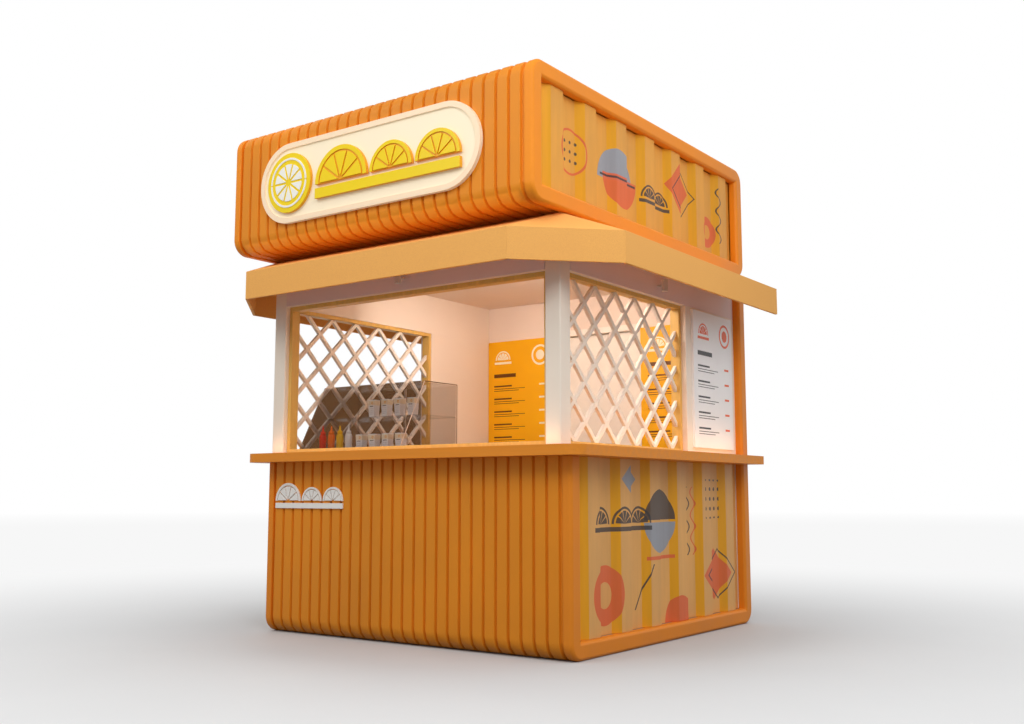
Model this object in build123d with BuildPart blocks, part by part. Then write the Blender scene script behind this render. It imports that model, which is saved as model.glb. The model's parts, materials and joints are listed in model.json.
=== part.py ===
from build123d import *
from math import atan2, ceil, cos, degrees, hypot, radians, sin
import os

# Street kiosk: a ribbed base with a serving counter, a white storey with a wide
# front opening and two latticed side windows, hollow eaves, and a ribbed box on
# top that carries the sign. Millimetres, +Z up, the front looks along -Y, and the
# origin is the middle of the base where it stands on the ground.

# ---------------------------------------------------------------- driving sizes
kiosk_width = 2400.0
kiosk_depth = 2340.0
counter_top_height = 1158.0
opening_head = 2137.0
box_underside = 2449.0
box_height = 797.0

# end frames: the plain rounded frames that close the ribbed skins at both sides
frame_bar = 100.0
frame_thickness = 58.0
frame_corner_radius = 100.0
frame_edge_chamfer = 14.0

# ribbed skin
rib_count = 26
rib_end_gap = 15.0
rib_height = 18.0
rib_groove_top = 21.0
rib_groove_bottom = 11.0
skin_plate = 14.0
corner_chords = 3

# corrugated side panels
panel_recess = 62.0
panel_sheet = 6.0
corrugation_depth = 34.0
base_corrugation_count = 6
box_corrugation_count = 7
corrugation_flank = 60.0
corrugation_crest = 122.0

# floor and counter
floor_level = 100.0
counter_thickness = 58.0
counter_overhang = 115.0
counter_corner_radius = 100.0
worktop_depth = 640.0
worktop_side_lip = 60.0

# white storey
wall_thickness = 105.0
wall_side_inset = 51.0
wall_front_proud = 18.0
side_window_length = 1405.0
lining_thickness = 27.0
lining_depth = 66.0
lining_setback = 34.0

# lattice: its bars cross on the sill and under the head, lattice_rows diamonds apart
lattice_bar = 24.0
lattice_thickness = 22.0
lattice_pitch = 236.0
lattice_rows = 4
lattice_start = 98.0
lattice_setback = 24.0

# eaves
eaves_reach = 355.0
eaves_corner_cut = 465.0
eaves_rear_gap = 140.0
fascia_height = 180.0
eaves_sheet = 18.0

# box on top
box_front_overhang = 356.0
ceiling_thickness = 20.0

# sign
sign_length = 1776.0
sign_height = 515.0
sign_depth = 26.0
sign_drop = 10.0
sign_shift = -20.0
sign_rim = 34.0
sign_recess = 11.0

# rear door
door_ribs_replaced = 10
door_frame_bar = 45.0
door_clearance = 5.0
door_thickness = 45.0
door_sill_radius = 97.0
hinge_pin_radius = 6.0
hinge_knuckle_radius = 12.0
hinge_knuckle_length = 50.0
hinge_running_gap = 0.3
hinge_leaf_thickness = 4.0
hinge_leaf_width = 28.0
hinge_axis_standoff = 2.0
hinge_heights = (360.0, 1900.0)
handle_height = 1060.0
handle_length = 240.0
handle_radius = 11.0
handle_foot_radius = 9.0
handle_foot_inset = 22.0
handle_standoff = 52.0
handle_edge_distance = 75.0

# menu boards
side_board_width = 600.0
side_board_height = 925.0
side_board_thickness = 20.0
side_board_gap = 75.0
side_board_top = 2122.0
back_board_width = 640.0
back_board_height = 925.0
back_board_thickness = 15.0
back_board_gap = 4.0
back_board_top = 2145.0

# spotlights
spot_radius = 20.0
spot_length = 75.0
spot_rise = 32.0
spot_reach = 52.0
spot_stem_radius = 7.0
spot_sides = 16

# display case and what stands in it
case_length = 900.0
case_depth = 580.0
case_top_depth = 340.0
case_height = 460.0
case_wall = 8.0
case_side_gap = 5.0
case_front_gap = 20.0
case_shelf_height = 236.0
case_shelf_depth = 350.0
carton_count = 4
carton_pitch = 115.0
carton_foot = 46.0
carton_mouth = 56.0
carton_height = 115.0
carton_right_gap = 135.0
lower_carton_setback = 175.0
upper_carton_setback = 290.0
bottle_count = 4
bottle_pitch = 80.0
bottle_sides = 12
bottle_radius = 24.0
bottle_shoulder_height = 118.0
bottle_neck_radius = 11.0
bottle_neck_height = 138.0
bottle_tip_radius = 3.0
bottle_height = 182.0
bottle_left_gap = 85.0
bottle_setback = 150.0

# ---------------------------------------------------------------- worked out
x_side = kiosk_width / 2
y_front = -kiosk_depth / 2
y_back = kiosk_depth / 2
base_top = counter_top_height - counter_thickness
box_top = box_underside + box_height
box_front = y_front - box_front_overhang
x_frame_inner = x_side - frame_thickness
rear_wall_depth = frame_bar
skin_depth = rib_height + skin_plate
rib_field = 2 * (x_frame_inner - rib_end_gap)
rib_pitch = rib_field / rib_count
x_wall = x_side - wall_side_inset
y_wall = y_front - wall_front_proud
x_room = x_wall - wall_thickness
y_room = y_wall + wall_thickness
y_room_back = y_back - rear_wall_depth
y_window_end = y_room + side_window_length
x_panel_back = x_side - panel_recess - panel_sheet
eaves_bottom = opening_head
eaves_front = y_wall - eaves_reach
eaves_end = y_back - eaves_rear_gap
door_frame_half = door_ribs_replaced * rib_pitch / 2
door_opening_half = door_frame_half - door_frame_bar
door_half = door_opening_half - door_clearance
door_frame_top = opening_head + door_frame_bar

os.makedirs("parts", exist_ok=True)


def finish(piece, name):
    """Label a finished piece and write its file."""
    piece.part.label = name
    export_step(piece.part, f"parts/{name}.step")


def rounded_corner(middle, radius, first_turn):
    """A quarter round of a side view, drawn as a few chords."""
    turns = [radians(first_turn + 90 * step / corner_chords) for step in range(corner_chords + 1)]
    return [(middle[0] + radius * cos(turn), middle[1] + radius * sin(turn)) for turn in turns]


def ribbed_block(outline, x_from, x_to, first, last):
    """A solid block with the ribs from first to last round it; outline(depth) is its side view."""
    ramp = (rib_groove_top - rib_groove_bottom) / 2
    ramp_angle = degrees(atan2(rib_height, ramp))
    crown_start = rib_groove_top / 2
    crown_end = rib_pitch - crown_start
    with BuildPart() as rib:
        with BuildSketch(Plane.YZ.offset(crown_start)):
            Polygon(*outline(0), align=None)
        extrude(amount=crown_end - crown_start)
        with BuildSketch(Plane.YZ.offset(crown_end)):
            Polygon(*outline(0), align=None)
        extrude(amount=ramp, taper=ramp_angle)
        with BuildSketch(Plane.YZ.offset(crown_start)):
            Polygon(*outline(0), align=None)
        extrude(amount=-ramp, taper=ramp_angle)
    with BuildPart() as block:
        with BuildSketch(Plane.YZ.offset(x_from)):
            Polygon(*outline(rib_height), align=None)
        extrude(amount=x_to - x_from)
        with Locations(*[(-rib_field / 2 + number * rib_pitch, 0, 0) for number in range(first, last)]):
            add(rib.part)
    return block.part


# ---------------------------------------------------------------- end frames
# side view of one end frame: front bar, bottom bar and full-height rear post
end_frame_points = [
    (y_front, base_top),
    (y_front, 0),
    (y_back, 0),
    (y_back, box_underside),
    (y_back - frame_bar, box_underside),
    (y_back - frame_bar, frame_bar),
    (y_front + frame_bar, frame_bar),
    (y_front + frame_bar, base_top),
]

for side_name, start in (("right", x_frame_inner), ("left", -x_side)):
    with BuildPart() as end_frame:
        with BuildSketch(Plane.YZ.offset(start)) as outline:
            Polygon(*end_frame_points, align=None)
            fillet(outline.vertices().group_by(Axis.Y)[0], radius=frame_corner_radius)
        extrude(amount=frame_thickness)
        outer_face = end_frame.faces().sort_by(Axis.X)[-1 if side_name == "right" else 0]
        cut_ends = (base_top, box_underside)
        free_edges = [edge for edge in outer_face.edges() if round(edge.center().Z) not in cut_ends]
        chamfer(free_edges, length=frame_edge_chamfer)
    finish(end_frame, f"{side_name}_end_frame")

# ---------------------------------------------------------------- base skins
def front_outline(depth):
    """Side view of the base's front, reaching past the counter and the corner's middle."""
    middle = (y_front + frame_corner_radius, frame_corner_radius)
    return [
        (y_front + depth, base_top + skin_depth),
        *rounded_corner(middle, frame_corner_radius - depth, 180),
        (y_front + frame_corner_radius + skin_depth, depth),
        (y_front + frame_corner_radius + skin_depth, base_top + skin_depth),
    ]


def rear_outline(depth):
    """Side view of the rear, reaching past the box's underside and the corner's middle."""
    middle = (y_back - frame_corner_radius, frame_corner_radius)
    return [
        (y_back - frame_corner_radius - skin_depth, depth),
        *rounded_corner(middle, frame_corner_radius - depth, 270),
        (y_back - depth, box_underside + skin_depth),
        (y_back - frame_corner_radius - skin_depth, box_underside + skin_depth),
    ]


with BuildPart() as base_front_skin:
    add(ribbed_block(front_outline, -x_frame_inner, x_frame_inner, 0, rib_count))
    with BuildSketch(Plane.YZ.offset(-x_frame_inner)):
        with Locations((y_front + frame_corner_radius / 2, base_top / 2)):
            Rectangle(frame_corner_radius, base_top)
        Polygon(*front_outline(skin_depth), align=None, mode=Mode.SUBTRACT)
    extrude(amount=2 * x_frame_inner, mode=Mode.INTERSECT)
finish(base_front_skin, "base_front_skin")

ribs_beside_door = (rib_count - door_ribs_replaced) // 2
with BuildPart() as rear_cladding:
    add(ribbed_block(rear_outline, -x_frame_inner, -door_frame_half, 0, ribs_beside_door))
    with BuildSketch(Plane.YZ.offset(-x_frame_inner)):
        with Locations((y_back - frame_corner_radius / 2, box_underside / 2)):
            Rectangle(frame_corner_radius, box_underside)
        Polygon(*rear_outline(skin_depth), align=None, mode=Mode.SUBTRACT)
    extrude(amount=x_frame_inner - door_frame_half, mode=Mode.INTERSECT)
    mirror(about=Plane.YZ)
finish(rear_cladding, "rear_cladding")

head_ribs = (ribs_beside_door, rib_count - ribs_beside_door)
with BuildPart() as rear_cladding_head:
    add(ribbed_block(rear_outline, -door_frame_half, door_frame_half, *head_ribs))
    with BuildSketch(Plane.YZ.offset(-door_frame_half)):
        with Locations((y_back - skin_depth / 2, (door_frame_top + box_underside) / 2)):
            Rectangle(skin_depth, box_underside - door_frame_top)
    extrude(amount=2 * door_frame_half, mode=Mode.INTERSECT)
finish(rear_cladding_head, "rear_cladding_head")

# ---------------------------------------------------------------- floor and linings
with BuildPart() as base_floor:
    with BuildSketch():
        Rectangle(2 * x_frame_inner, kiosk_depth - 2 * frame_corner_radius)
    extrude(amount=floor_level)
finish(base_floor, "base_floor")

with BuildPart() as base_front_lining:
    with BuildSketch(Plane.XY.offset(floor_level)):
        with Locations((0, (y_front + skin_depth + y_room) / 2)):
            Rectangle(2 * x_panel_back, y_room - y_front - skin_depth)
    extrude(amount=base_top - floor_level)
finish(base_front_lining, "base_front_lining")

with BuildPart() as base_side_linings:
    with BuildSketch(Plane.XY.offset(floor_level)):
        for sign in (-1, 1):
            with Locations((sign * (x_room + x_panel_back) / 2, (y_room + y_room_back) / 2)):
                Rectangle(x_panel_back - x_room, y_room_back - y_room)
    extrude(amount=base_top - floor_level)
finish(base_side_linings, "base_side_linings")

with BuildPart() as rear_walls:
    with BuildSketch(Plane.XY.offset(floor_level)):
        wall_width = x_frame_inner - door_frame_half
        for sign in (-1, 1):
            with Locations(
                (sign * (door_frame_half + wall_width / 2), (y_room_back + y_back - skin_depth) / 2)
            ):
                Rectangle(wall_width, rear_wall_depth - skin_depth)
    extrude(amount=box_underside - floor_level)
finish(rear_walls, "rear_walls")

with BuildPart() as rear_wall_head:
    with BuildSketch(Plane.XY.offset(door_frame_top)):
        with Locations((0, (y_room_back + y_back - skin_depth) / 2)):
            Rectangle(2 * door_frame_half, rear_wall_depth - skin_depth)
    extrude(amount=box_underside - door_frame_top)
finish(rear_wall_head, "rear_wall_head")


# ---------------------------------------------------------------- corrugated panels
def corrugation_section(length, count):
    """Plan section of a trapezoid sheet of one length, crests towards +Y."""
    pitch = length / count
    valley = pitch - corrugation_crest - 2 * corrugation_flank
    outer = [(0, 0)]
    for number in range(count):
        start = number * pitch + valley / 2
        outer += [
            (start, 0),
            (start + corrugation_flank, corrugation_depth),
            (start + corrugation_flank + corrugation_crest, corrugation_depth),
            (start + 2 * corrugation_flank + corrugation_crest, 0),
        ]
    outer.append((length, 0))
    inner = [(x, y - panel_sheet) for x, y in reversed(outer)]
    Polygon(*outer, *inner, align=None)


def corrugated_panel(name, side, y_from, length, z_from, height, count):
    """A standing corrugated sheet whose crests look out of one side."""
    sheet_plane = Plane(
        origin=(side * (x_side - panel_recess), y_from, z_from),
        x_dir=(0, 1, 0),
        z_dir=(0, 0, -side),
    )
    with BuildPart() as panel:
        with BuildSketch(sheet_plane):
            corrugation_section(length, count)
        extrude(amount=-side * height)
    finish(panel, name)


for side_name, side in (("right", 1), ("left", -1)):
    corrugated_panel(
        f"{side_name}_base_panel",
        side,
        y_front + frame_bar,
        kiosk_depth - 2 * frame_bar,
        frame_bar,
        base_top - frame_bar,
        base_corrugation_count,
    )
    corrugated_panel(
        f"{side_name}_box_panel",
        side,
        box_front + frame_bar,
        y_back - box_front - 2 * frame_bar,
        box_underside + frame_bar,
        box_height - 2 * frame_bar,
        box_corrugation_count,
    )

# ---------------------------------------------------------------- counter
with BuildPart() as counter_top:
    with BuildSketch(Plane.XY.offset(base_top)) as board:
        x_edge = x_side + counter_overhang
        y_edge = y_front - counter_overhang
        Polygon((-x_edge, y_edge), (x_edge, y_edge), (x_edge, y_back), (-x_edge, y_back), align=None)
        fillet(board.vertices().group_by(Axis.Y)[0], radius=counter_corner_radius)
        x_arm = x_room - worktop_side_lip
        y_arm = y_wall + worktop_depth
        Polygon(
            (-x_arm, y_arm),
            (x_arm, y_arm),
            (x_arm, y_room_back),
            (x_frame_inner, y_room_back),
            (x_frame_inner, y_back - frame_bar),
            (x_side, y_back - frame_bar),
            (x_side, y_back),
            (-x_side, y_back),
            (-x_side, y_back - frame_bar),
            (-x_frame_inner, y_back - frame_bar),
            (-x_frame_inner, y_room_back),
            (-x_arm, y_room_back),
            align=None,
            mode=Mode.SUBTRACT,
        )
    extrude(amount=counter_thickness)
finish(counter_top, "counter_top")

# ---------------------------------------------------------------- white storey
with BuildPart() as front_corner_posts:
    with BuildSketch(Plane.XY.offset(counter_top_height)):
        for sign in (-1, 1):
            with Locations((sign * (x_wall + x_room) / 2, (y_wall + y_room) / 2)):
                Rectangle(wall_thickness, wall_thickness)
    extrude(amount=box_underside - counter_top_height)
finish(front_corner_posts, "front_corner_posts")

with BuildPart() as front_lintel:
    with BuildSketch(Plane.XY.offset(opening_head)):
        with Locations((0, (y_wall + y_room) / 2)):
            Rectangle(2 * x_room, wall_thickness)
    extrude(amount=box_underside - opening_head)
finish(front_lintel, "front_lintel")

with BuildPart() as side_walls:
    with BuildSketch(Plane.XY.offset(counter_top_height)):
        for sign in (-1, 1):
            with Locations((sign * (x_wall + x_room) / 2, (y_window_end + y_room_back) / 2)):
                Rectangle(wall_thickness, y_room_back - y_window_end)
    extrude(amount=opening_head - counter_top_height)
finish(side_walls, "side_walls")

with BuildPart() as side_lintels:
    with BuildSketch(Plane.XY.offset(opening_head)):
        for sign in (-1, 1):
            with Locations((sign * (x_wall + x_room) / 2, (y_room + y_room_back) / 2)):
                Rectangle(wall_thickness, y_room_back - y_room)
    extrude(amount=box_underside - opening_head)
finish(side_lintels, "side_lintels")

opening_height = opening_head - counter_top_height
opening_middle = (opening_head + counter_top_height) / 2
with BuildPart() as front_window_frame:
    with BuildSketch(Plane.XZ.offset(-(y_wall + lining_setback))):
        with Locations((0, opening_middle)):
            Rectangle(2 * x_room, opening_height)
            Rectangle(
                2 * (x_room - lining_thickness),
                opening_height - 2 * lining_thickness,
                mode=Mode.SUBTRACT,
            )
    extrude(amount=-lining_depth)
finish(front_window_frame, "front_window_frame")

with BuildPart() as side_window_frames:
    for side in (-1, 1):
        with BuildSketch(Plane.YZ.offset(side * (x_wall - lining_setback))):
            with Locations(((y_room + y_window_end) / 2, opening_middle)):
                Rectangle(side_window_length, opening_height)
                Rectangle(
                    side_window_length - 2 * lining_thickness,
                    opening_height - 2 * lining_thickness,
                    mode=Mode.SUBTRACT,
                )
        extrude(amount=-side * lining_depth)
finish(side_window_frames, "side_window_frames")

# ---------------------------------------------------------------- lattices
lattice_width = side_window_length - 2 * lining_thickness
lattice_height = opening_height - 2 * lining_thickness
lattice_lean = degrees(atan2(lattice_height / lattice_rows, lattice_pitch))
lattice_reach = 2 * hypot(lattice_width, lattice_height)


def lattice_sketch():
    """Crossed bars of a diamond lattice, cut to the clear opening."""
    columns_beyond = ceil(lattice_rows / 2) + 1
    columns = ceil(lattice_width / lattice_pitch) + columns_beyond
    for lean in (-lattice_lean, lattice_lean):
        for column in range(-columns_beyond, columns):
            foot = -lattice_width / 2 + lattice_start + column * lattice_pitch
            with Locations((foot, -lattice_height / 2)):
                Rectangle(lattice_reach, lattice_bar, rotation=lean)
    Rectangle(lattice_width, lattice_height, mode=Mode.INTERSECT)


for side_name, side in (("right", 1), ("left", -1)):
    lattice_x = side * (x_wall - lining_setback - lattice_setback)
    lattice_plane = Plane(
        origin=(lattice_x, (y_room + y_window_end) / 2, opening_middle),
        x_dir=(0, 1, 0),
        z_dir=(1, 0, 0),
    )
    with BuildPart() as lattice:
        with BuildSketch(lattice_plane):
            lattice_sketch()
        extrude(amount=-side * lattice_thickness)
    finish(lattice, f"{side_name}_lattice")


# ---------------------------------------------------------------- eaves
# plan corners from rear left to rear right: along the fascia, and above the wall
x_eaves = x_wall + eaves_reach
fascia_corners = [
    (-x_eaves, eaves_end),
    (-x_eaves, eaves_front + eaves_corner_cut),
    (-x_eaves + eaves_corner_cut, eaves_front),
    (x_eaves - eaves_corner_cut, eaves_front),
    (x_eaves, eaves_front + eaves_corner_cut),
    (x_eaves, eaves_end),
]
wall_corners = [
    (-x_wall, eaves_end),
    (-x_wall, y_wall),
    (-x_wall, y_wall),
    (x_wall, y_wall),
    (x_wall, y_wall),
    (x_wall, eaves_end),
]
fascia_top = eaves_bottom + fascia_height


def eaves_bay(bay):
    """One bay of the eaves: a fascia and a sloping top, open below, mitred at both ends."""
    start = Vector(*fascia_corners[bay], 0)
    along = Vector(*fascia_corners[bay + 1], 0) - start
    inward = Vector(-along.Y, along.X, 0).normalized()
    reach = (Vector(*wall_corners[bay], 0) - start).dot(inward)
    wedge = dict.fromkeys([*fascia_corners[bay : bay + 2], wall_corners[bay + 1], wall_corners[bay]])
    with BuildPart() as piece:
        with BuildSketch(Plane(origin=start, x_dir=inward, z_dir=along)):
            Polygon(
                (0, eaves_bottom),
                (0, fascia_top),
                (reach, box_underside),
                (reach, box_underside - eaves_sheet),
                (eaves_sheet, fascia_top - eaves_sheet),
                (eaves_sheet, eaves_bottom),
                align=None,
            )
        extrude(amount=along.length)
        with BuildSketch(Plane.XY.offset(eaves_bottom)):
            Polygon(*wedge, align=None)
        extrude(amount=box_underside - eaves_bottom, mode=Mode.INTERSECT)
    return piece.part


for eaves_name, bays in (("eaves_sides", (0, 4)), ("eaves_corners", (1, 3)), ("eaves_front", (2,))):
    with BuildPart() as eaves:
        for bay in bays:
            add(eaves_bay(bay))
    finish(eaves, eaves_name)

# ---------------------------------------------------------------- box on top
box_depth = y_back - box_front
box_middle_y = (box_front + y_back) / 2
box_middle_z = (box_underside + box_top) / 2



def box_outline(depth):
    """Side view of the box, depth below its rib crowns."""
    radius = frame_corner_radius - depth
    front = box_front + frame_corner_radius
    back = y_back - frame_corner_radius
    top = box_top - frame_corner_radius
    bottom = box_underside + frame_corner_radius
    return [
        *rounded_corner((back, top), radius, 0),
        *rounded_corner((front, top), radius, 90),
        *rounded_corner((front, bottom), radius, 180),
        *rounded_corner((back, bottom), radius, 270),
    ]


with BuildPart() as box_skin:
    add(ribbed_block(box_outline, -x_frame_inner, x_frame_inner, 0, rib_count))
    with BuildSketch(Plane.YZ.offset(-x_frame_inner)):
        Polygon(*box_outline(skin_depth), align=None)
    extrude(amount=2 * x_frame_inner, mode=Mode.SUBTRACT)
finish(box_skin, "box_skin")

for side_name, start in (("right", x_frame_inner), ("left", -x_side)):
    with BuildPart() as ring:
        with BuildSketch(Plane.YZ.offset(start)):
            with Locations((box_middle_y, box_middle_z)):
                RectangleRounded(box_depth, box_height, frame_corner_radius)
                Rectangle(box_depth - 2 * frame_bar, box_height - 2 * frame_bar, mode=Mode.SUBTRACT)
        extrude(amount=frame_thickness)
        outer_face = ring.faces().sort_by(Axis.X)[-1 if side_name == "right" else 0]
        chamfer(outer_face.edges(), length=frame_edge_chamfer)
    finish(ring, f"{side_name}_box_frame")

with BuildPart() as ceiling:
    with BuildSketch(Plane.XY.offset(box_underside - ceiling_thickness)):
        with Locations((0, (y_room + y_room_back) / 2)):
            Rectangle(2 * x_room, y_room_back - y_room)
    extrude(amount=ceiling_thickness)
finish(ceiling, "ceiling")

# ---------------------------------------------------------------- sign
sign_z = box_middle_z - sign_drop
with BuildPart() as sign_panel:
    with BuildSketch(Plane.XZ.offset(-box_front)):
        with Locations((sign_shift, sign_z)):
            SlotOverall(sign_length, sign_height)
    extrude(amount=sign_depth)
    with BuildSketch(Plane.XZ.offset(-box_front + sign_depth)):
        with Locations((sign_shift, sign_z)):
            SlotOverall(sign_length - 2 * sign_rim, sign_height - 2 * sign_rim)
    extrude(amount=-sign_recess, mode=Mode.SUBTRACT)
finish(sign_panel, "sign_panel")

# ---------------------------------------------------------------- rear door
with BuildPart() as door_frame:
    with BuildSketch(Plane.XZ.offset(-y_back)):
        with Locations((0, door_frame_top / 2)):
            Rectangle(2 * door_frame_half, door_frame_top)
        with Locations((0, (floor_level + opening_head) / 2)):
            Rectangle(2 * door_opening_half, opening_head - floor_level, mode=Mode.SUBTRACT)
    extrude(amount=rear_wall_depth)
    sill_corner = door_frame.edges().filter_by(Axis.X).group_by(Axis.Z)[0].sort_by(Axis.Y)[-1]
    fillet(sill_corner, radius=door_sill_radius)
finish(door_frame, "door_frame")

hinge_x = door_opening_half - door_clearance / 2
hinge_y = y_back + hinge_knuckle_radius + hinge_axis_standoff
door_bottom = floor_level + door_clearance
door_top = opening_head - door_clearance

with BuildPart() as rear_door:
    with BuildSketch(Plane.XZ.offset(-y_back)):
        with Locations((0, (door_bottom + door_top) / 2)):
            Rectangle(2 * door_half, door_top - door_bottom)
    extrude(amount=door_thickness)
finish(rear_door, "rear_door")

# each hinge has three knuckles round one pin: the outer two belong to the frame
knuckle_pitch = hinge_knuckle_length + hinge_running_gap
hinge_length = 3 * hinge_knuckle_length + 2 * hinge_running_gap
leaf_start = hinge_knuckle_radius + 1
leaf_middle_y = y_back + hinge_leaf_thickness / 2


with BuildPart() as hinge_frame_halves:
    for middle in hinge_heights:
        for step in (-1, 1):
            with BuildSketch(Plane.XY.offset(middle + step * knuckle_pitch - hinge_knuckle_length / 2)):
                with Locations((hinge_x, hinge_y)):
                    Circle(hinge_knuckle_radius)
                with Locations((hinge_x + leaf_start / 2, leaf_middle_y)):
                    Rectangle(leaf_start, hinge_leaf_thickness)
            extrude(amount=hinge_knuckle_length)
        with BuildSketch(Plane.XY.offset(middle - hinge_length / 2)):
            with Locations((hinge_x, hinge_y)):
                Circle(hinge_pin_radius)
            with Locations((hinge_x + leaf_start + hinge_leaf_width / 2, leaf_middle_y)):
                Rectangle(hinge_leaf_width, hinge_leaf_thickness)
        extrude(amount=hinge_length)
finish(hinge_frame_halves, "hinge_frame_halves")

with BuildPart() as hinge_door_halves:
    for middle in hinge_heights:
        with BuildSketch(Plane.XY.offset(middle - hinge_knuckle_length / 2)):
            with Locations((hinge_x, hinge_y)):
                Circle(hinge_knuckle_radius)
            with Locations((hinge_x - leaf_start / 2, leaf_middle_y)):
                Rectangle(leaf_start, hinge_leaf_thickness)
            with Locations((hinge_x, hinge_y)):
                Circle(hinge_pin_radius + hinge_running_gap, mode=Mode.SUBTRACT)
        extrude(amount=hinge_knuckle_length)
        with BuildSketch(Plane.XY.offset(middle - hinge_length / 2)):
            with Locations((hinge_x - leaf_start - hinge_leaf_width / 2, leaf_middle_y)):
                Rectangle(hinge_leaf_width, hinge_leaf_thickness)
        extrude(amount=hinge_length)
finish(hinge_door_halves, "hinge_door_halves")

handle_x = -door_half + handle_edge_distance
with BuildPart() as door_handle:
    with BuildSketch(Plane.XY.offset(handle_height)):
        with Locations((handle_x, y_back + handle_standoff)):
            Circle(handle_radius)
    extrude(amount=handle_length)
    with BuildSketch(Plane.XZ.offset(-y_back)):
        for end in (handle_foot_inset, handle_length - handle_foot_inset):
            with Locations((handle_x, handle_height + end)):
                Circle(handle_foot_radius)
    extrude(amount=-handle_standoff)
finish(door_handle, "door_handle")

# ---------------------------------------------------------------- menu boards
side_board_y = y_room_back - side_board_gap - side_board_width / 2
with BuildPart() as side_menu_boards:
    for side in (-1, 1):
        with BuildSketch(Plane.YZ.offset(side * x_wall)):
            with Locations((side_board_y, side_board_top - side_board_height / 2)):
                Rectangle(side_board_width, side_board_height)
        extrude(amount=side * side_board_thickness)
finish(side_menu_boards, "side_menu_boards")

back_board_x = x_room - back_board_gap - back_board_width / 2
with BuildPart() as back_menu_boards:
    with BuildSketch(Plane.XZ.offset(-y_room_back)):
        for side in (-1, 1):
            with Locations((side * back_board_x, back_board_top - back_board_height / 2)):
                Rectangle(back_board_width, back_board_height)
    extrude(amount=back_board_thickness)
finish(back_menu_boards, "back_menu_boards")

# ---------------------------------------------------------------- spotlights
side_middle = (y_wall + y_room_back) / 2
spot_places = [(0, y_wall, -90), (-x_wall, side_middle, 180), (x_wall, side_middle, 0)]
with BuildPart() as spotlights:
    for wall_x, wall_y, outward in spot_places:
        foot = Plane((wall_x, wall_y, opening_head + spot_rise)).rotated((0, 0, outward))
        with BuildSketch(foot):
            with Locations((spot_reach, 0)):
                RegularPolygon(spot_radius, spot_sides)
        extrude(amount=spot_length)
        arm_start = foot.origin + Vector(0, 0, spot_length / 2)
        with BuildSketch(Plane(arm_start, x_dir=foot.y_dir, z_dir=foot.x_dir)):
            RegularPolygon(spot_stem_radius, spot_sides)
        extrude(amount=spot_reach)
finish(spotlights, "spotlights")

# ---------------------------------------------------------------- display case
case_left = -x_room + case_side_gap
case_front = y_room + case_front_gap
case_back = case_front + case_depth
with BuildPart() as display_case:
    with BuildSketch(Plane.YZ.offset(case_left)):
        with Locations((0, counter_top_height)):
            Polygon(
                (case_front, 0),
                (case_back, 0),
                (case_back, case_height),
                (case_back - case_top_depth, case_height),
                align=None,
            )
    extrude(amount=case_length)
    offset(amount=-case_wall, openings=display_case.faces().sort_by(Axis.Y)[-1], mode=Mode.REPLACE)
finish(display_case, "display_case")

case_floor_z = counter_top_height + case_wall
shelf_z = counter_top_height + case_shelf_height
with BuildPart() as case_shelf:
    with BuildSketch(Plane.XY.offset(shelf_z)):
        with Locations((case_left + case_length / 2, case_back - case_wall - case_shelf_depth / 2)):
            Rectangle(case_length - 2 * case_wall, case_shelf_depth)
    extrude(amount=case_wall)
finish(case_shelf, "case_shelf")

carton_x = case_left + case_length - carton_right_gap
carton_rows = [
    (case_front + lower_carton_setback, case_floor_z),
    (case_front + upper_carton_setback, shelf_z + case_wall),
]
carton_flare = degrees(atan2((carton_mouth - carton_foot) / 2, carton_height))
with BuildPart() as food_cartons:
    for row_y, foot_z in carton_rows:
        with BuildSketch(Plane.XY.offset(foot_z)):
            with Locations(*[(carton_x - number * carton_pitch, row_y) for number in range(carton_count)]):
                Rectangle(carton_foot, carton_foot)
        extrude(amount=carton_height, taper=-carton_flare)
finish(food_cartons, "food_cartons")

bottle_y = case_front + bottle_setback
bottle_steps = [
    (0, bottle_radius, bottle_shoulder_height, bottle_radius),
    (bottle_shoulder_height, bottle_radius, bottle_neck_height, bottle_neck_radius),
    (bottle_neck_height, bottle_neck_radius, bottle_height, bottle_tip_radius),
]
with BuildPart() as sauce_bottles:
    for foot, foot_radius, head, head_radius in bottle_steps:
        with BuildSketch(Plane.XY.offset(case_floor_z + foot)):
            for number in range(bottle_count):
                with Locations((case_left + bottle_left_gap + number * bottle_pitch, bottle_y)):
                    RegularPolygon(foot_radius, bottle_sides)
        extrude(amount=head - foot, taper=degrees(atan2(foot_radius - head_radius, head - foot)))
finish(sauce_bottles, "sauce_bottles")
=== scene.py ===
import json
from math import asin, cos, pi, radians, sin, tau

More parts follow.
